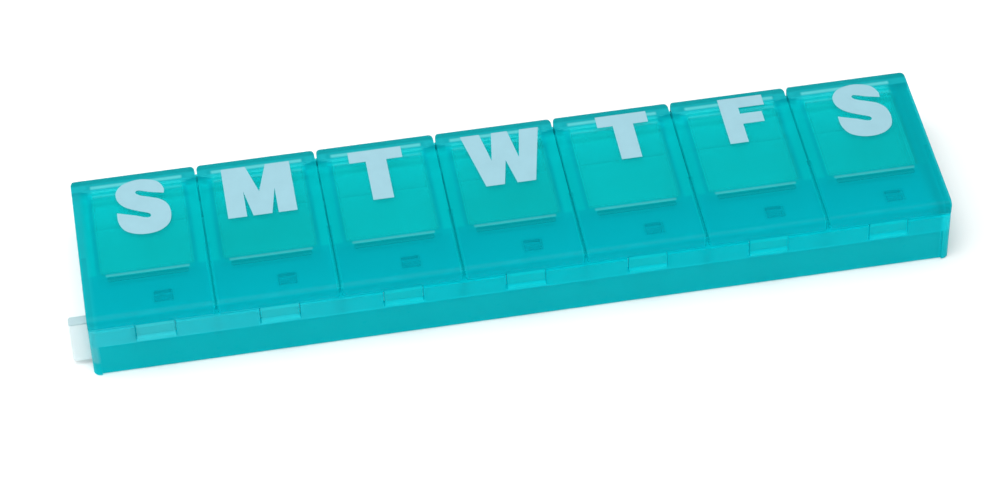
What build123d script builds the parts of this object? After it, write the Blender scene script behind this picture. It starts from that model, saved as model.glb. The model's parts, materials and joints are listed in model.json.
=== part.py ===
from build123d import *
import os
from math import hypot, sqrt

# Weekly organizer: a case with seven compartments, a hinged lid over each, and a slide that locks them.
# Millimetres. +X runs along the week from Sunday to Saturday, -Y is the front and +Z is up.
# The origin lies on the resting plane, under the middle of the fourth compartment.

# the week
day_names = ["sunday", "monday", "tuesday", "wednesday", "thursday", "friday", "saturday"]
day_pitch = 29.7            # from one compartment to the next
end_margin = 1.05           # what the case adds beyond the outer pitch lines

# the case: a deck with seven tubs under it, inside a skirt that is open below
case_depth = 49.0           # from the lids' front edge to the back
case_height = 17.5          # from the resting plane to the top of the closed lids
wall = 1.3                  # skirt, deck and tubs
rib = 1.2                   # stiffening ribs below the deck
corner_round = 1.6          # upright corners of the skirt
tub_width = 25.0            # inside, along X
tub_depth = 28.1            # inside, along Y
tub_round = 2.6             # inside, upright corners
tub_bevel = 1.8             # inside, around the floor
front_stand = 0.5           # how far the front rail stands out past the lids' front edge
front_flare = 0.3           # how much further out the front's foot is than its top
rail_height = 5.0           # the raised band along the top of the front
panel_recess = 0.4          # depth of the front's lower panel behind the rail
border_width = 2.0          # what is left of the rail's plane at each end of the lower panel

# the lids
lid_panel = 1.6             # thickness of the flat top
lid_seat_gap = 0.3          # between a closed lid and the deck and shelf under it
lid_side_gap = 0.5          # between two lids
lid_front_round = 2.4       # the nose over the front edge
lid_back_round = 1.6        # the roll over the back edge
lid_corner = 2.6            # the two back corners, seen from above
lid_front_corner = 0.8      # the two front corners, seen from above
lip_drop = 2.9              # from the top down to the foot of the front lip
lip_thickness = 1.3
step_gap = 0.6              # behind the front lip
ring_height = 2.5           # plug ring under the lid, inside the tub's mouth
ring_rib = 1.1
ring_gap = 0.3              # beside and in front of the ring
ring_back_gap = 0.6         # behind the ring, where it swings closest to the tub

# the thumb tab that hangs from the lid's front lip into a slot in the rail
thumb_width = 9.2
thumb_drop = 7.2            # from the top down to its foot
thumb_thickness = 1.4
thumb_stand = 0.2           # how far it stands out past the rail
thumb_lip = 0.5             # nail catch along its foot
thumb_lip_height = 0.9
thumb_gap = 0.3             # beside and below the tab

# the hinge: stub pins on the lid's two ears turn in lugs on the case
hinge_setback = 2.4         # from the back face to the axis
knuckle_radius = 1.2        # ears and lugs
pin_radius = 0.6
pin_clearance = 0.08
pin_reach = 0.8             # how far a pin enters its lug
lug_thickness = 1.9
ear_thickness = 1.4
hinge_gap = 0.3             # between the moving and the fixed side of the hinge
flange_thickness = 1.3      # the lid's back skirt
web_past_axis = 0.2         # how far a lug's web reaches behind the axis

# the locking slide, which runs along the front below the deck
slide_thickness = 2.0
slide_height = 5.2
slide_drop = 6.4            # from the top of the lids to the top of the bar
slide_gap = 0.3             # around the bar in its guides
slide_past_day = 4.7        # from the last compartment's middle to the end of the bar
slide_nose = 1.2            # lead-in at the end of the bar
tooth_width = 4.2
tooth_length = 2.1
tooth_height = 1.8
tooth_chamfer = 0.4         # lead-in on both corners of a tooth's tip
travel = 4.5                # from free, pulled out, to locked, pushed in
grip_stand = 4.45           # what stands out of the case's left end when it is pulled out
grip_inside = 2.1           # what stays inside the left end
grip_height = 12.6
grip_thickness = 2.5
grip_top_gap = 0.3          # between the grip and the deck
grip_round = 0.6

# the guides that hold the slide, and the lids' catches that its teeth cover when it is pushed in
guide_width = 2.4           # along X
guide_barb = 0.9            # how far a guide's two barbs reach under the bar
guide_barb_height = 0.9
catch_offset = 2.9          # from the compartment's middle
catch_width = 4.0
catch_stem = 1.2
catch_barb_height = 1.2
catch_side_gap = 0.4        # between a tooth and the catch beside it
catch_back_gap = 0.4        # between a tooth's tip and the catch's stem
catch_under_gap = 0.3       # between a tooth and the barb below it
barb_front_gap = 0.8        # between the barb and the bar, which the barb swings towards
slot_gap = 0.35             # around the catch in its slot through the deck

# places that follow from the sizes
case_length = len(day_names) * day_pitch + 2 * end_margin
case_left = -case_length / 2
case_right = case_length / 2
front_y = -case_depth / 2
back_y = case_depth / 2
lid_under = case_height - lid_panel
deck_top = lid_under - lid_seat_gap
deck_under = deck_top - wall
shelf_top = case_height - lip_drop - lid_seat_gap
shelf_under = shelf_top - wall
rail_y = front_y - front_stand
foot_y = rail_y - front_flare
rail_bottom = shelf_top - rail_height
front_inner = rail_y + panel_recess + wall
step_front = front_y + lip_thickness + step_gap
step_back = step_front + wall

hinge_y = back_y - hinge_setback
hinge_z = lid_under - knuckle_radius - hinge_gap
roll_reach = hypot(hinge_setback - lid_back_round, case_height - hinge_z - lid_back_round) + lid_back_round
ledge_top = hinge_z - roll_reach - hinge_gap
deck_back = hinge_y - knuckle_radius - hinge_gap
tub_back = deck_back - wall
tub_front = tub_back - tub_depth

slide_front = step_back + slide_gap
slide_back = slide_front + slide_thickness
slide_top = case_height - slide_drop
slide_bottom = slide_top - slide_height
grip_top = deck_under - grip_top_gap
tooth_tip = slide_back + tooth_length
catch_front = tooth_tip + catch_back_gap
catch_back = catch_front + catch_stem
barb_front = slide_back + barb_front_gap
barb_top = slide_top - tooth_height - catch_under_gap
barb_bottom = barb_top - catch_barb_height
barb_swing = hypot(hinge_y - barb_front, hinge_z - barb_bottom) - (hinge_y - barb_front)
slot_front = barb_front - barb_swing - slot_gap
slot_back = catch_back + slot_gap
tooth_right = catch_offset - catch_width / 2 - catch_side_gap
thumb_y = rail_y - thumb_stand
thumb_bottom = case_height - thumb_drop

day_x = [(i - (len(day_names) - 1) / 2) * day_pitch for i in range(len(day_names))]
pitch_lines = [x - day_pitch / 2 for x in day_x] + [day_x[-1] + day_pitch / 2]
bar_end = day_x[-1] + slide_past_day
first_guide = day_x[0] + tooth_right - tooth_width - slide_gap - guide_width / 2
ear_outer = day_pitch / 2 - lug_thickness / 2 - hinge_gap


def box_between(x0, x1, y0, y1, z0, z1, mode=Mode.ADD):
    """Add or cut the block between two corners."""
    with Locations(((x0 + x1) / 2, (y0 + y1) / 2, (z0 + z1) / 2)):
        return Box(x1 - x0, y1 - y0, z1 - z0, mode=mode)


def profile_along_x(points, x0, x1, mode=Mode.ADD):
    """Run a side profile, given as (y, z) points, from x0 to x1."""
    with BuildSketch(Plane.YZ.offset(x0)) as side:
        with BuildLine():
            Polyline(*points, close=True)
        make_face()
    return extrude(side.sketch, amount=x1 - x0, mode=mode)


def disc_along_x(radius, x0, x1, mode=Mode.ADD):
    """A round bar on the hinge axis, from x0 to x1."""
    with BuildSketch(Plane.YZ.offset(x0)) as end:
        with Locations((hinge_y, hinge_z)):
            Circle(radius)
    return extrude(end.sketch, amount=x1 - x0, mode=mode)


def make_tub_inside():
    """The space in a tub, from its floor up to the deck's top, at x = 0."""
    with BuildPart() as space:
        with BuildSketch(Plane.XY.offset(wall)):
            with Locations((0, (tub_front + tub_back) / 2)):
                RectangleRounded(tub_width, tub_depth, tub_round)
        extrude(amount=deck_top - wall)
        chamfer(space.edges().group_by(Axis.Z)[0], tub_bevel)
    return space.part


def make_tub_outside():
    """A tub's block, its corners and foot cut straight so that no wall is thinner there than elsewhere."""
    corner_cut = 2 - sqrt(2)
    with BuildPart() as block:
        with BuildSketch() as plan:
            with Locations((0, (tub_front + tub_back) / 2)):
                Rectangle(tub_width + 2 * wall, tub_depth + 2 * wall)
            chamfer(plan.vertices(), (tub_round + wall) * corner_cut)
        extrude(amount=deck_top)
        chamfer(block.edges().group_by(Axis.Z)[0], tub_bevel + wall * corner_cut)
    return block.part


def make_guide():
    """An upside-down U over the bar, with barbs below it and a rib on each side, at x = 0."""
    barb_z = slide_bottom - slide_gap
    foot_z = barb_z - guide_barb_height
    back_fin = slide_back + slide_gap
    half = guide_width / 2
    with BuildPart() as guide:
        for fin_y, side in ((step_back, 1), (back_fin, -1)):
            fin = [(fin_y, deck_under), (fin_y - side * rib, deck_under), (fin_y - side * rib, foot_z),
                   (fin_y, foot_z), (fin_y + side * guide_barb, barb_z), (fin_y, barb_z)]
            profile_along_x(fin, -half, half)
        box_between(-half, half, step_back - rib, back_fin + rib,
                    slide_top + slide_gap, deck_under + wall / 2)

        # the ribs run to the front wall, and back to between the tubs
        box_between(-rib / 2, rib / 2, front_inner - wall / 2, step_back - rib / 2,
                    foot_z, shelf_under + wall / 2)
        box_between(-rib / 2, rib / 2, back_fin + rib / 2, tub_front - wall / 2,
                    foot_z, deck_under + wall / 2)
    return guide.part


def make_lug():
    """A hinge lug at x = 0: an eye on the hinge axis and the web that carries it."""
    with BuildPart() as lug:
        web = [(tub_back + wall / 2, ledge_top - wall / 2), (hinge_y + web_past_axis, ledge_top - wall / 2),
               (hinge_y + web_past_axis, hinge_z), (tub_back + wall / 2, hinge_z)]
        profile_along_x(web, -lug_thickness / 2, lug_thickness / 2)
        disc_along_x(knuckle_radius, -lug_thickness / 2, lug_thickness / 2)
    return lug.part


def make_case():
    tub_outside = make_tub_outside()
    tub_inside = make_tub_inside()
    guide = make_guide()
    lug = make_lug()
    days = [(x, 0, 0) for x in day_x]
    with BuildPart() as case:
        # the deck steps down to a shelf under the lids' front lips, and to a ledge below their hinges
        outline = [(foot_y, 0), (rail_y, shelf_top), (step_front, shelf_top), (step_front, deck_top),
                   (deck_back, deck_top), (deck_back, ledge_top), (back_y, ledge_top), (back_y, 0)]
        profile_along_x(outline, case_left, case_right)
        upright = case.edges().filter_by(
            lambda e: abs(e.tangent_at(0).Z) > 0.9 and e.length > ledge_top / 2)
        fillet(upright, corner_round)
        hollow = [(front_inner, -wall), (front_inner, shelf_under), (step_back, shelf_under),
                  (step_back, deck_under), (tub_back, deck_under), (tub_back, ledge_top - wall),
                  (back_y - wall, ledge_top - wall), (back_y - wall, -wall)]
        profile_along_x(hollow, case_left + wall, case_right - wall, Mode.SUBTRACT)

        # lower front panel, set back behind the rail and the two end borders
        recess = [(foot_y - wall, -wall), (foot_y - wall, rail_bottom), (rail_y + panel_recess, rail_bottom),
                  (foot_y + panel_recess, -wall)]
        profile_along_x(recess, case_left + border_width, case_right - border_width, Mode.SUBTRACT)

        # the slide's guides stand on the pitch lines, and the first one also stops the pulled-out slide
        with Locations(*[(x, 0, 0) for x in [first_guide] + pitch_lines[1:-1]]):
            add(guide)
        stop_x = bar_end + travel + slide_gap
        box_between(stop_x, stop_x + rib, step_back - rib, slide_back + slide_gap + rib,
                    slide_bottom, deck_under + wall / 2)
        box_between(stop_x, stop_x + rib, front_inner - wall / 2, tub_front - wall / 2,
                    slide_top + slide_gap, shelf_under + wall / 2)

        with Locations(*days):
            add(tub_outside)
        with Locations(*days):
            add(tub_inside, mode=Mode.SUBTRACT)

        # one lug on each pitch line carries the pins of the lids on both sides of it
        with Locations(*[(x, 0, 0) for x in pitch_lines]):
            add(lug)
        disc_along_x(pin_radius + pin_clearance, case_left - wall, case_right + wall, Mode.SUBTRACT)

        # slots for the thumb tabs in the rail, and for the catches in the deck
        slot_y = (slot_front + slot_back) / 2
        rail_middle = (foot_y - wall + front_inner) / 2
        with Locations(*[(x, rail_middle, thumb_bottom - thumb_gap) for x in day_x]):
            Box(thumb_width + 2 * thumb_gap, front_inner - foot_y + wall, case_height - thumb_bottom,
                align=(Align.CENTER, Align.CENTER, Align.MIN), mode=Mode.SUBTRACT)
        with Locations(*[(x + catch_offset, slot_y, deck_top) for x in day_x]):
            Box(catch_width + 2 * slot_gap, slot_back - slot_front, 4 * wall, mode=Mode.SUBTRACT)

        # the left end is open from the foot up, where the grip slides in
        box_between(case_left - wall, case_left + 2 * wall, slide_front - slide_gap,
                    slide_front + grip_thickness + slide_gap, -wall, deck_under, Mode.SUBTRACT)
    return case.part


def make_lid(x, left_edge, right_edge):
    with BuildPart() as lid:
        # side profile: back skirt, flat top and front lip in one bent panel
        with BuildSketch(Plane.YZ.offset(left_edge)):
            with BuildLine():
                Line((back_y, hinge_z), (back_y, case_height - lid_back_round))
                RadiusArc((back_y, case_height - lid_back_round), (back_y - lid_back_round, case_height),
                          -lid_back_round)
                Line((back_y - lid_back_round, case_height), (front_y + lid_front_round, case_height))
                RadiusArc((front_y + lid_front_round, case_height), (front_y, case_height - lid_front_round),
                          -lid_front_round)
                Polyline((front_y, case_height - lid_front_round), (front_y, case_height - lip_drop),
                         (front_y + lip_thickness, case_height - lip_drop),
                         (front_y + lip_thickness, lid_under), (back_y - flange_thickness, lid_under),
                         (back_y - flange_thickness, hinge_z), (back_y, hinge_z))
            make_face()
        extrude(amount=right_edge - left_edge)

        # the back skirt stops short of the lugs on both sides
        for x0, x1 in ((left_edge - wall, x - ear_outer), (x + ear_outer, right_edge + wall)):
            box_between(x0, x1, hinge_y - wall, back_y + wall,
                        hinge_z - wall, lid_under, Mode.SUBTRACT)

        # seen from above, the corners are round, most of all the two at the back
        with BuildSketch(Plane.XY.offset(hinge_z - wall)) as plan:
            with Locations(((left_edge + right_edge) / 2, 0)):
                Rectangle(right_edge - left_edge, case_depth)
            fillet(plan.vertices().group_by(Axis.Y)[-1], lid_corner)
            fillet(plan.vertices().group_by(Axis.Y)[0], lid_front_corner)
        extrude(amount=case_height, mode=Mode.INTERSECT)

        # thumb tab with a nail catch along its foot
        thumb_top = case_height - lid_front_round
        nail_top = thumb_bottom + thumb_lip_height
        thumb = [(thumb_y + thumb_thickness, thumb_top), (front_y, thumb_top), (thumb_y, shelf_top),
                 (thumb_y, nail_top + thumb_lip), (thumb_y - thumb_lip, nail_top),
                 (thumb_y - thumb_lip, thumb_bottom), (thumb_y + thumb_thickness, thumb_bottom)]
        profile_along_x(thumb, x - thumb_width / 2, x + thumb_width / 2)

        # plug ring
        ring_front = tub_front + ring_gap
        ring_back = tub_back - ring_back_gap
        with BuildSketch(Plane.XY.offset(lid_under - ring_height)):
            with Locations((x, (ring_front + ring_back) / 2)):
                RectangleRounded(tub_width - 2 * ring_gap, ring_back - ring_front, tub_round - ring_gap)
                Rectangle(tub_width - 2 * (ring_gap + ring_rib), ring_back - ring_front - 2 * ring_rib,
                          mode=Mode.SUBTRACT)
        extrude(amount=ring_height + lid_panel / 2)

        # ears and stub pins
        pin_end = ear_outer + hinge_gap + pin_reach
        for ear_from, ear_to, pin_from, pin_to in (
                (-ear_outer, ear_thickness - ear_outer, -pin_end, ear_thickness - ear_outer),
                (ear_outer - ear_thickness, ear_outer, ear_outer - ear_thickness, pin_end)):
            box_between(x + ear_from, x + ear_to, hinge_y - knuckle_radius, hinge_y + knuckle_radius,
                        hinge_z, lid_under + lid_panel / 2)
            disc_along_x(knuckle_radius, x + ear_from, x + ear_to)
            disc_along_x(pin_radius, x + pin_from, x + pin_to)

        # the catch: a stem through the deck with a barb that the slide's tooth covers
        catch_x = x + catch_offset
        catch = [(catch_back, lid_under + lid_panel / 2), (catch_front, lid_under + lid_panel / 2),
                 (catch_front, barb_top), (barb_front, barb_top),
                 (barb_front, barb_top - catch_barb_height / 2),
                 (catch_front, barb_bottom), (catch_back, barb_bottom)]
        profile_along_x(catch, catch_x - catch_width / 2, catch_x + catch_width / 2)
    return lid.part


def make_grip():
    """The plate at the slide's left end, which stands out of the case when the slide is pulled out."""
    with BuildPart() as grip:
        box_between(case_left - grip_stand, case_left + grip_inside,
                    slide_front, slide_front + grip_thickness, grip_top - grip_height, grip_top)
        outer_face = grip.faces().sort_by(Axis.X)[0]
        fillet(grip.edges().filter_by(Axis.Y) + outer_face.edges().filter_by(Axis.Z), grip_round)
    return grip.part


def make_slide():
    grip = make_grip()
    with BuildPart() as slide:
        # the bar, with a lead-in at its right end
        with BuildSketch(Plane.XZ.offset(-slide_front)):
            with BuildLine():
                Polyline((case_left, slide_bottom), (bar_end - slide_nose, slide_bottom),
                         (bar_end, slide_bottom + slide_nose), (bar_end, slide_top - slide_nose),
                         (bar_end - slide_nose, slide_top), (case_left, slide_top), close=True)
            make_face()
        extrude(amount=-slide_thickness)

        # one tooth beside each lid's catch
        for x in day_x:
            box_between(x + tooth_right - tooth_width, x + tooth_right,
                        slide_back - slide_thickness / 2, tooth_tip, slide_top - tooth_height, slide_top)
        tooth_corners = slide.edges().filter_by(Axis.Z).group_by(Axis.Y)[-1]
        chamfer(tooth_corners, tooth_chamfer)
        add(grip)
    return slide.part


os.makedirs("parts", exist_ok=True)
case = make_case()
case.label = "case"
export_step(case, "parts/case.step")

for i, day in enumerate(day_names):
    left_edge = case_left if i == 0 else pitch_lines[i] + lid_side_gap / 2
    right_edge = case_right if i == len(day_names) - 1 else pitch_lines[i + 1] - lid_side_gap / 2
    lid = make_lid(day_x[i], left_edge, right_edge)
    lid.label = f"lid_{day}"
    export_step(lid, f"parts/lid_{day}.step")

slide = make_slide()
slide.label = "lock_slide"
export_step(slide, "parts/lock_slide.step")
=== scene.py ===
import json
import math

import bmesh
import bpy
from mathutils import Matrix, Vector


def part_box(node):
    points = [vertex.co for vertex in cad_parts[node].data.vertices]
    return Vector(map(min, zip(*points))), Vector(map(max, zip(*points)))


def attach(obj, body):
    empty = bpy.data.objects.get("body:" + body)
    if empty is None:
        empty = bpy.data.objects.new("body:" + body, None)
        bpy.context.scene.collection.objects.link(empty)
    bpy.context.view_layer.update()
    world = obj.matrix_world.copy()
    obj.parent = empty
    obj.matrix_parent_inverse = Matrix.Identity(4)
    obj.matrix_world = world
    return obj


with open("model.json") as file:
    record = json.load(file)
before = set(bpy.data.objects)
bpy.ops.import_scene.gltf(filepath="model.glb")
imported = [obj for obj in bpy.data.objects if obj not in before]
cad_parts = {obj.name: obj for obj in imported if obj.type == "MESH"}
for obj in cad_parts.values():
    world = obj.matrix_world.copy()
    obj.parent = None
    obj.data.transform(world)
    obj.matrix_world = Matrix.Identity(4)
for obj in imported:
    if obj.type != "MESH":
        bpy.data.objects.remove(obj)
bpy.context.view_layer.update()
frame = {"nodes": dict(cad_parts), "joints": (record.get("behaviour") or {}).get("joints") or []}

mm = 0.001
dayNames = ["sunday", "monday", "tuesday", "wednesday", "thursday", "friday", "saturday"]
hinges = {joint["child"]: joint for joint in frame["joints"]}
dayPitch = hinges["lid_monday"]["pos_m"][0] - hinges["lid_sunday"]["pos_m"][0]


def addObject(name, data):
    thing = bpy.data.objects.new(name, data)
    bpy.context.scene.collection.objects.link(thing)
    return thing


# camera, as in the photograph: from the front, a little from the left, looking down
cameraView = {
    "azimuth": -8.5,        # degrees, minus is from the left
    "elevation": 45.51,     # degrees above the table
    "roll": -1.68,          # degrees
    "distance": 838.8 * mm,
    "aim": (-2.1 * mm, 1.6 * mm, 0),
    "lens": 121.95,         # mm
    "sensor": 36,           # mm
    "near": 10 * mm,        # nothing nearer is drawn
    "far": 100,             # nor anything farther, in metres
}


def makeCamera():
    azimuth = math.radians(cameraView["azimuth"])
    elevation = math.radians(cameraView["elevation"])
    back = Vector((math.sin(azimuth) * math.cos(elevation),
                   -math.cos(azimuth) * math.cos(elevation), math.sin(elevation)))
    data = bpy.data.cameras.new("camera")
    data.sensor_width = cameraView["sensor"]
    data.lens = cameraView["lens"]
    data.clip_start = cameraView["near"]
    data.clip_end = cameraView["far"]
    camera = addObject("camera", data)
    turn = (-back).to_track_quat("-Z", "Y").to_matrix().to_4x4()
    roll = Matrix.Rotation(math.radians(cameraView["roll"]), 4, "Z")
    place = Matrix.Translation(Vector(cameraView["aim"]) + back * cameraView["distance"])
    camera.matrix_world = place @ turn @ roll
    bpy.context.scene.camera = camera


# studio: a large soft box overhead, a weaker one from the left, and a room pale at the horizon
studio = {
    "horizon": 0.85,        # brightness of the room at the horizon
    "ceiling": 0.30,        # and above
    "fade": (0.25, 0.6),    # where one turns into the other, as sines of the height angle
    "softBoxes": {          # power in watts, size and place in metres
        "overhead": (34, 1.6, (-0.25, -0.35, 1.7)),
        "side": (6, 0.9, (-1.3, 0.5, 1.0)),
    },
}
tableTop = {
    "size": 16,             # metres
    "drop": 0.3 * mm,       # keeps the table clear of the undersides
    "color": (0.90, 0.90, 0.895),
    "roughness": 0.9,
    "gloss": 0.1,
    "grainScale": 900,      # per metre
    "grainStrength": 0.05,
    "grainHeight": 0.1 * mm,
}


def addNode(tree, kind, **settings):
    node = tree.nodes.new(kind)
    for name, value in settings.items():
        setattr(node, name, value)
    return node


def addNoise(tree, place, scale, detail=2):
    noise = addNode(tree, "ShaderNodeTexNoise")
    noise.inputs["Scale"].default_value = scale
    noise.inputs["Detail"].default_value = detail
    tree.links.new(place, noise.inputs["Vector"])
    return noise.outputs["Fac"]


def addBump(tree, height, strength, distance):
    bump = addNode(tree, "ShaderNodeBump")
    bump.inputs["Strength"].default_value = strength
    bump.inputs["Distance"].default_value = distance
    tree.links.new(height, bump.inputs["Height"])
    return bump.outputs["Normal"]


def newMaterial(name):
    material = bpy.data.materials.new(name)
    material.use_nodes = True
    material.node_tree.nodes.clear()
    return material, material.node_tree


def showShader(tree, shader):
    out = addNode(tree, "ShaderNodeOutputMaterial")
    tree.links.new(shader, out.inputs["Surface"])


def addSoftBox(name, power, size, place):
    data = bpy.data.lights.new(name, "AREA")
    data.energy = power
    data.size = size
    lamp = addObject(name, data)
    lamp.location = place
    lamp.rotation_euler = (-Vector(place)).to_track_quat("-Z", "Y").to_euler()


def makeRoom():
    world = bpy.data.worlds.new("room")
    bpy.context.scene.world = world
    world.use_nodes = True
    tree = world.node_tree
    tree.nodes.clear()
    where = addNode(tree, "ShaderNodeTexCoord")
    split = addNode(tree, "ShaderNodeSeparateXYZ")
    ramp = addNode(tree, "ShaderNodeValToRGB")
    ramp.color_ramp.interpolation = "EASE"
    for stop, part, height in zip(ramp.color_ramp.elements, ("horizon", "ceiling"), studio["fade"]):
        stop.position = height
        stop.color = (studio[part],) * 3 + (1,)
    light = addNode(tree, "ShaderNodeBackground")
    out = addNode(tree, "ShaderNodeOutputWorld")
    tree.links.new(where.outputs["Generated"], split.inputs[0])
    tree.links.new(split.outputs["Z"], ramp.inputs["Fac"])
    tree.links.new(ramp.outputs["Color"], light.inputs["Color"])
    tree.links.new(light.outputs["Background"], out.inputs["Surface"])


def paperMaterial():
    material, tree = newMaterial("pale_paper")
    where = addNode(tree, "ShaderNodeTexCoord")
    grain = addNoise(tree, where.outputs["Object"], tableTop["grainScale"])
    fibres = addBump(tree, grain, tableTop["grainStrength"], tableTop["grainHeight"])
    paper = addNode(tree, "ShaderNodeBsdfPrincipled")
    paper.inputs["Base Color"].default_value = (*tableTop["color"], 1)
    paper.inputs["Roughness"].default_value = tableTop["roughness"]
    paper.inputs["Specular IOR Level"].default_value = tableTop["gloss"]
    tree.links.new(fibres, paper.inputs["Normal"])
    showShader(tree, paper.outputs["BSDF"])
    return material


def makeStudio():
    for name, (power, size, place) in studio["softBoxes"].items():
        addSoftBox(name, power, size, place)
    makeRoom()
    half = tableTop["size"] / 2
    drop = -tableTop["drop"]
    mesh = bpy.data.meshes.new("table")
    corners = [(-half, -half, drop), (half, -half, drop), (half, half, drop), (-half, half, drop)]
    mesh.from_pydata(corners, [], [(0, 1, 2, 3)])
    table = addObject("table", mesh)
    table.data.materials.append(paperMaterial())
    bpy.context.scene.view_settings.view_transform = "Standard"


# The plastics have a see-through share, and a milky body with faint clouds from the moulding.
# A zone changes them between limits in mm, where None is an open end: "x", "y" and "z" are places
# on the closed object, "day" is the distance sideways from the middle of the nearest compartment
# and "catch" that from the nearest catch. "soft" is how broad the zone's edges are, and "spread"
# takes its place for those on x. In the zone the colour goes "toward" another by "amount", and
# "clear" is added to the see-through share.
caseFinish = {
    "name": "case_teal",
    "body": (0.0, 0.68, 0.73),
    "cloud": (0.0, 0.73, 0.78),
    "tint": (0.20, 0.93, 0.945),    # what one face lets through
    "clear": 0.70,                  # share that is seen through
    "glow": 0.35,                   # share of the rest that shines through from behind
    "roughness": (0.24, 0.36),
    "gloss": 0.10,
    "zones": [
        # the tubs' side walls and the gaps between them, darker: painted shade, partly the thicker
        # plastic seen edge-on
        {"day": (11.9, None), "y": (-10.4, None), "soft": 1.4,
         "toward": (0, 0.36, 0.37), "amount": 0.3},
        # the front edge of each tub's mouth, a dark line: painted shade, partly the thick plastic
        # seen edge-on
        {"day": (None, 11.9), "y": (-10.3, -8.6), "z": (12, None), "soft": 0.5,
         "toward": (0, 0.16, 0.17), "amount": 0.9, "clear": -0.25},
        # front wall and end walls, milkier than the deck
        {"y": (None, -22.4), "soft": 0.6,
         "toward": (0, 0.66, 0.73), "amount": 0.8, "clear": -0.24},
        {"x": (102.5, None), "soft": 0.8,
         "toward": (0, 0.64, 0.70), "amount": 0.8, "clear": -0.24},
        {"x": (None, -102.5), "y": (-23, None), "soft": 0.8,
         "toward": (0.03, 0.48, 0.53), "amount": 0.9, "clear": -0.24},
        # front left corner, pale above its foot: a painted highlight on the rounded corner
        {"x": (None, -103.3), "y": (None, -22.6), "z": (4, None), "soft": 1.2,
         "toward": (0.60, 0.90, 0.94), "amount": 0.28},
        # the rail, pale where the white slide shows through, and paler towards the left
        {"y": (None, -24.2), "z": (9.3, 14.6), "soft": 1.4,
         "toward": (0, 0.90, 1.0), "amount": 0.75, "clear": 0.08},
        # painted highlight, paler towards the left where more light falls
        {"x": (None, -70), "spread": 110, "y": (None, -24.2), "z": (9.3, 14.6), "soft": 1.0,
         "toward": (0.75, 0.94, 1.0), "amount": 0.11},
    ],
}
lidFinish = {
    "name": "lid_teal",
    "body": (0.0, 0.61, 0.69),
    "cloud": (0.0, 0.67, 0.75),
    "tint": (0.25, 0.94, 0.955),
    "clear": 0.60,
    "glow": 0.35,
    "roughness": (0.20, 0.30),
    "gloss": 0.10,
    "zones": [
        # window over the compartment, clearer, and paler: partly a painted sheen and painted light
        # let through
        {"day": (None, 11.3), "y": (-9.2, 19.2), "soft": 1.2,
         "toward": (0.01, 0.97, 0.92), "amount": 0.85, "clear": 0.13},
        # strip in front of the window, where the compartment's edge shows through as a painted dark
        # line of shade
        {"day": (None, 9.6), "y": (-12.0, -10.5), "soft": 1.1,
         "toward": (0, 0.36, 0.38), "amount": 0.5, "clear": 0.1},
        # strips beside the windows
        {"day": (12.2, None), "y": (-9.5, 18.5), "soft": 1.2,
         "toward": (0, 0.82, 0.82), "amount": 0.7},
        # rims of the lids in front, painted lighter so that the shade in the seams hardly shows
        {"day": (14.2, None), "y": (None, -3), "soft": 0.5,
         "toward": (0, 0.95, 1.0), "amount": 0.8, "clear": 0.15},
        # outer edges of the last and the first lid
        {"x": (100.5, None), "soft": 4,
         "toward": (0, 0.42, 0.47), "amount": 0.85, "clear": -0.2},
        {"x": (None, -103), "soft": 2,
         "toward": (0.02, 0.46, 0.51), "amount": 0.7, "clear": -0.2},
        # the catch, seen through the lid
        {"catch": (None, 2.4), "y": (-20.8, -17.0), "soft": 1.0,
         "toward": (0, 0.46, 0.53), "amount": 0.22, "clear": 0.06},
        # roll over the hinge, thicker and milkier, and darker along its back
        {"y": (19.7, None), "soft": 0.8,
         "toward": (0.01, 0.50, 0.55), "amount": 0.85, "clear": -0.36},
        {"y": (21.8, None), "soft": 1.0, "toward": (0, 0.33, 0.36), "amount": 0.8},
        # two painted highlights, pale lines along the hinge side of the window
        {"day": (None, 11.2), "y": (20.1, 21.1), "soft": 0.7,
         "toward": (0.25, 0.98, 1.0), "amount": 0.65},
        {"day": (None, 10.9), "y": (17.0, 17.8), "soft": 0.8,
         "toward": (0.30, 0.98, 1.0), "amount": 0.3},
        # front edge of the window, which catches the light
        {"day": (None, 10.0), "y": (-10.3, -9.6), "soft": 0.6,
         "toward": (0.25, 1.0, 1.0), "amount": 0.55},
        # thumb tabs, pale, and paler towards the left
        {"y": (None, -24.45), "z": (None, 14.8), "soft": 0.2,
         "toward": (0.01, 0.96, 1.0), "amount": 0.8},
        # painted highlight, paler towards the left where more light falls
        {"x": (None, -70), "spread": 110, "y": (None, -24.45), "z": (None, 14.8), "soft": 0.2,
         "toward": (0.85, 0.97, 1.0), "amount": 0.16},
    ],
}
slideFinish = {
    "name": "slide_white",
    "body": (0.90, 0.965, 0.975),
    "cloud": (0.94, 0.985, 0.99),
    "tint": (0.92, 0.98, 1.0),
    "clear": 0.15,
    "glow": 0.30,
    "roughness": (0.32, 0.45),
    "gloss": 0.25,
    "zones": [
        # top of the grip, greyer than its sides
        {"z": (13.6, None), "soft": 0.4, "toward": (0.46, 0.60, 0.63), "amount": 0.9},
    ],
}
moulding = {
    "cloudScale": 38,           # per metre, as the other scales: broad, faint clouds
    "cloudDetail": 3,
    "flow": 0.35,               # under 1, it draws the clouds out along the object
    "grainScale": 700,          # fine changes of the roughness
    "waveScale": 90,            # shallow waves of the surface
    "waveStrength": 0.5,
    "waveHeight": 0.02 * mm,
    "catchShift": 2.9 * mm,     # how far the catches lie right of the compartments' middles
}


def calculate(tree, operation, first, second):
    node = addNode(tree, "ShaderNodeMath", operation=operation)
    for socket, value in zip(node.inputs, (first, second)):
        if isinstance(value, (int, float)):
            socket.default_value = value
        else:
            tree.links.new(value, socket)
    return node.outputs["Value"]


def overlap(tree, mask, other):
    # a mask of None holds everywhere
    return other if mask is None else calculate(tree, "MULTIPLY", mask, other)


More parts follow.
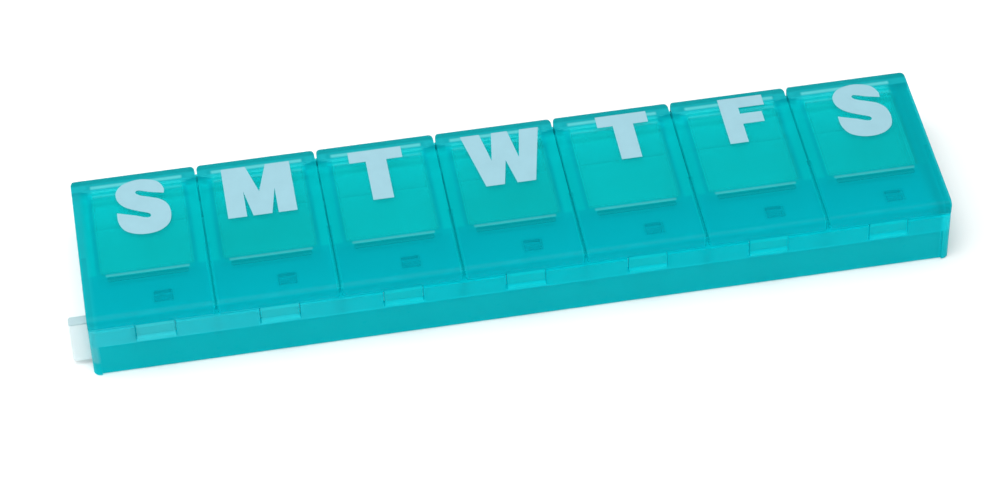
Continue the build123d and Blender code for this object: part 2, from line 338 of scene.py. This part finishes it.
def bandMask(tree, place, limits, soft):
    # 1 between the limits and 0 outside, with soft ends
    mask = None
    for limit, start, end in zip(limits, (0, 1), (1, 0)):
        if limit is None:
            continue
        step = addNode(tree, "ShaderNodeMapRange", interpolation_type="SMOOTHSTEP")
        step.inputs["From Min"].default_value = (limit - soft / 2) * mm
        step.inputs["From Max"].default_value = (limit + soft / 2) * mm
        step.inputs["To Min"].default_value = start
        step.inputs["To Max"].default_value = end
        tree.links.new(place, step.inputs["Value"])
        mask = overlap(tree, mask, step.outputs["Result"])
    return mask


def zoneMask(tree, places, zone):
    mask = None
    for axis, place in places.items():
        if axis in zone:
            soft = zone.get("spread", zone["soft"]) if axis == "x" else zone["soft"]
            mask = overlap(tree, mask, bandMask(tree, place, zone[axis], soft))
    return mask


def mixColors(tree, factor, first, second):
    node = addNode(tree, "ShaderNodeMix", data_type="RGBA")
    tree.links.new(factor, node.inputs[0])
    colorSockets = [socket for socket in node.inputs if socket.type == "RGBA"]
    for socket, value in zip(colorSockets, (first, second)):
        if isinstance(value, tuple):
            socket.default_value = (*value, 1)
        else:
            tree.links.new(value, socket)
    return [socket for socket in node.outputs if socket.type == "RGBA"][0]


def addZones(tree, places, finish, color):
    clearShare = finish["clear"]
    for zone in finish["zones"]:
        mask = zoneMask(tree, places, zone)
        amount = calculate(tree, "MULTIPLY", mask, zone["amount"])
        color = mixColors(tree, amount, color, zone["toward"])
        if "clear" in zone:
            change = calculate(tree, "MULTIPLY", mask, zone["clear"])
            clearShare = calculate(tree, "ADD", change, clearShare)
    return color, clearShare


def plasticMaterial(finish):
    material, tree = newMaterial(finish["name"])
    link = tree.links.new
    where = addNode(tree, "ShaderNodeTexCoord").outputs["Object"]
    split = addNode(tree, "ShaderNodeSeparateXYZ")
    link(where, split.inputs[0])
    besideCatch = calculate(tree, "SUBTRACT", split.outputs["X"], moulding["catchShift"])
    places = {"x": split.outputs["X"], "y": split.outputs["Y"], "z": split.outputs["Z"],
              "day": calculate(tree, "PINGPONG", split.outputs["X"], dayPitch / 2),
              "catch": calculate(tree, "PINGPONG", besideCatch, dayPitch / 2)}

    flow = addNode(tree, "ShaderNodeMapping")
    flow.inputs["Scale"].default_value = (moulding["flow"], 1, 1)
    link(where, flow.inputs["Vector"])
    clouds = addNoise(tree, flow.outputs["Vector"], moulding["cloudScale"], moulding["cloudDetail"])
    color = mixColors(tree, clouds, finish["body"], finish["cloud"])
    color, clearShare = addZones(tree, places, finish, color)

    rough = addNode(tree, "ShaderNodeMapRange")
    smoothest, roughest = finish["roughness"]
    rough.inputs["To Min"].default_value = smoothest
    rough.inputs["To Max"].default_value = roughest
    link(addNoise(tree, where, moulding["grainScale"]), rough.inputs["Value"])
    wave = addNoise(tree, where, moulding["waveScale"])
    waves = addBump(tree, wave, moulding["waveStrength"], moulding["waveHeight"])

    body = addNode(tree, "ShaderNodeBsdfPrincipled")
    body.inputs["Specular IOR Level"].default_value = finish["gloss"]
    link(color, body.inputs["Base Color"])
    link(rough.outputs["Result"], body.inputs["Roughness"])
    link(waves, body.inputs["Normal"])
    glow = addNode(tree, "ShaderNodeBsdfTranslucent")
    link(color, glow.inputs["Color"])
    milky = addNode(tree, "ShaderNodeMixShader")
    milky.inputs["Fac"].default_value = finish["glow"]
    link(body.outputs["BSDF"], milky.inputs[1])
    link(glow.outputs["BSDF"], milky.inputs[2])
    clear = addNode(tree, "ShaderNodeBsdfTransparent")
    clear.inputs["Color"].default_value = (*finish["tint"], 1)
    whole = addNode(tree, "ShaderNodeMixShader")
    if isinstance(clearShare, float):
        whole.inputs["Fac"].default_value = clearShare
    else:
        link(clearShare, whole.inputs["Fac"])
    link(milky.outputs["Shader"], whole.inputs[1])
    link(clear.outputs["BSDF"], whole.inputs[2])
    showShader(tree, whole.outputs["Shader"])
    return material


def dress(node, material):
    mesh = frame["nodes"][node].data
    mesh.materials.clear()
    mesh.materials.append(material)


# the printed initials of the days, in heavy plain strokes, all sizes in mm
letters = {
    # for each day: letter, width, height, how far it lies right of the compartment's middle,
    # and how far below the lid's back edge
    "week": [
        ("S", 13.0, 19.0, 1.0, 3.1),
        ("M", 16.9, 17.2, -0.3, 3.6),
        ("T", 13.2, 17.4, -0.4, 3.6),
        ("W", 19.6, 18.3, 1.3, 3.3),
        ("T", 12.8, 15.8, 2.3, 2.7),
        ("F", 11.2, 16.0, 3.0, 2.3),
        ("S", 13.0, 18.9, 2.4, 3.1),
    ],
    "stem": 5.1,            # breadth of an upright stroke
    "bar": 3.8,             # and of a level one
    "curveSteps": 5,        # pieces of curve between two points of the S
    "thickness": 0.05,      # of the print
    "lift": 0.01,           # keeps it clear of the lid's face
}
# what the strokes of three letters differ in: "stem", "foot", "peak" and "shoulder" are shares of
# the common stem or the letter's own, "bar" of the common bar, and "gap" of the letter's own bar
strokesF = {"stem": 0.9, "bar": 0.95, "gap": 0.62}
strokesM = {"stem": 0.9, "slit": 0.50, "notch": 0.47, "shoulder": 1.3}
strokesW = {"stem": 0.93, "foot": 0.9, "peak": 0.42, "lean": 0.185, "slit": 0.45,
            "innerFoot": 0.6, "innerSlit": 1.05}


def letterT(width, height):
    stem, bar = letters["stem"], letters["bar"]
    left, right, under = (width - stem) / 2, (width + stem) / 2, height - bar
    return [(0, height), (0, under), (left, under), (left, 0), (right, 0), (right, under),
            (width, under), (width, height)]


def letterF(width, height):
    stem, bar = letters["stem"] * strokesF["stem"], letters["bar"] * strokesF["bar"]
    gap = bar * strokesF["gap"]
    barUnder = height - bar
    armTop = height - bar - gap
    armUnder = armTop - bar
    armEnd = width - gap / 2
    return [(0, height), (0, 0), (stem, 0), (stem, armUnder), (armEnd, armUnder), (armEnd, armTop),
            (stem, armTop), (stem, barUnder), (width, barUnder), (width, height)]


def letterM(width, height):
    stem = letters["stem"] * strokesM["stem"]
    left, right, inner = (width - stem) / 2, (width + stem) / 2, width - stem
    slit, notch = height * strokesM["slit"], height * strokesM["notch"]
    shoulder = stem * strokesM["shoulder"]
    return [(0, height), (0, 0), (stem, 0), (stem, slit), (left, 0), (right, 0), (inner, slit),
            (inner, 0), (width, 0), (width, height), (width - shoulder, height),
            (width / 2, notch), (shoulder, height)]


def letterW(width, height):
    stem, foot = letters["stem"] * strokesW["stem"], letters["stem"] * strokesW["foot"]
    lean, slit = width * strokesW["lean"], height * strokesW["slit"]
    peak = stem * strokesW["peak"]
    inner, innerSlit = foot * strokesW["innerFoot"], slit * strokesW["innerSlit"]
    return [(0, height), (lean, 0), (lean + foot, 0), (width / 2, slit), (width - lean - foot, 0),
            (width - lean, 0), (width, height), (width - stem, height),
            (width - lean - inner, innerSlit), (width / 2 + peak, height),
            (width / 2 - peak, height), (lean + inner, innerSlit), (stem, height)]


def letterS(width, height):
    # two smooth edges as shares of the width and height, each from a cut end to the end of a slit
    overTop = [(0.915, 0.70), (0.92, 0.80), (0.80, 0.935), (0.50, 1.0), (0.19, 0.95),
               (0.03, 0.82), (0.03, 0.665), (0.14, 0.54), (0.32, 0.455), (0.50, 0.397),
               (0.59, 0.365), (0.625, 0.327), (0.59, 0.292), (0.50, 0.30), (0.36, 0.345)]
    underFoot = [(0.0, 0.435), (0.005, 0.27), (0.09, 0.12), (0.26, 0.035), (0.50, 0.0),
                 (0.76, 0.035), (0.94, 0.145), (1.0, 0.31), (0.965, 0.48), (0.84, 0.59),
                 (0.68, 0.645), (0.50, 0.695), (0.42, 0.73), (0.385, 0.768), (0.42, 0.80),
                 (0.50, 0.79), (0.64, 0.75)]
    outline = smoothEdge(overTop) + smoothEdge(underFoot)
    return [(x * width, y * height) for x, y in outline]


def smoothEdge(points):
    # a Catmull-Rom curve through the points
    steps = letters["curveSteps"]
    line = []
    last = len(points) - 1
    for i in range(last):
        a, b, c, d = [Vector(points[max(0, min(last, i + k))]) for k in (-1, 0, 1, 2)]
        for step in range(steps):
            t = step / steps
            line.append(0.5 * (2 * b + t * (c - a) + t * t * (2 * a - 5 * b + 4 * c - d)
                               + t ** 3 * (3 * b - a - 3 * c + d)))
    return line + [Vector(points[last])]


letterShapes = {"S": letterS, "M": letterM, "T": letterT, "W": letterW, "F": letterF}
ink = {
    "color": (0.285, 0.50, 0.575),
    "mottle": (0.93, 1.05),     # brightness of the darkest and the palest spots
    "mottleScale": 260,         # per metre
    "mottleDetail": 4,
    "bumpStrength": 0.2,
    "bumpHeight": 0.01 * mm,
    "roughness": 0.45,
    "gloss": 0.2,
}


def inkMaterial():
    material, tree = newMaterial("printed_white")
    link = tree.links.new
    where = addNode(tree, "ShaderNodeTexCoord").outputs["Object"]
    mottle = addNoise(tree, where, ink["mottleScale"], ink["mottleDetail"])
    shade = addNode(tree, "ShaderNodeMapRange")
    darkest, palest = ink["mottle"]
    shade.inputs["To Min"].default_value = darkest
    shade.inputs["To Max"].default_value = palest
    link(mottle, shade.inputs["Value"])
    color = addNode(tree, "ShaderNodeHueSaturation")
    color.inputs["Color"].default_value = (*ink["color"], 1)
    link(shade.outputs["Result"], color.inputs["Value"])
    film = addNode(tree, "ShaderNodeBsdfPrincipled")
    film.inputs["Roughness"].default_value = ink["roughness"]
    film.inputs["Specular IOR Level"].default_value = ink["gloss"]
    link(color.outputs["Color"], film.inputs["Base Color"])
    link(addBump(tree, mottle, ink["bumpStrength"], ink["bumpHeight"]), film.inputs["Normal"])
    showShader(tree, film.outputs["BSDF"])
    return material


def printLetter(day, entry, material):
    letter, width, height, shift, top = entry
    body = f"lid_{day}"
    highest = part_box(body)[1]
    left = hinges[body]["pos_m"][0] + (shift - width / 2) * mm
    foot = highest[1] - (top + height) * mm
    face = highest[2] + letters["lift"] * mm

    mesh = bpy.data.meshes.new(f"letter_{day}")
    shape = bmesh.new()
    outline = letterShapes[letter](width, height)
    corners = [shape.verts.new((left + x * mm, foot + y * mm, face)) for x, y in outline]
    sheet = shape.faces.new(corners)
    raised = bmesh.ops.extrude_face_region(shape, geom=[sheet])
    upper = [part for part in raised["geom"] if isinstance(part, bmesh.types.BMVert)]
    bmesh.ops.translate(shape, vec=(0, 0, letters["thickness"] * mm), verts=upper)
    bmesh.ops.triangulate(shape, faces=shape.faces, ngon_method="EAR_CLIP")
    bmesh.ops.recalc_face_normals(shape, faces=shape.faces)
    shape.to_mesh(mesh)
    shape.free()
    piece = addObject(f"letter_{day}", mesh)
    piece.data.materials.append(material)
    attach(piece, body)


print("camera and studio")
makeCamera()
makeStudio()

print("plastics")
lidTeal = plasticMaterial(lidFinish)
dress("case", plasticMaterial(caseFinish))
dress("lock_slide", plasticMaterial(slideFinish))
for day in dayNames:
    dress(f"lid_{day}", lidTeal)

print("letters")
printedWhite = inkMaterial()
for day, entry in zip(dayNames, letters["week"]):
    printLetter(day, entry, printedWhite)
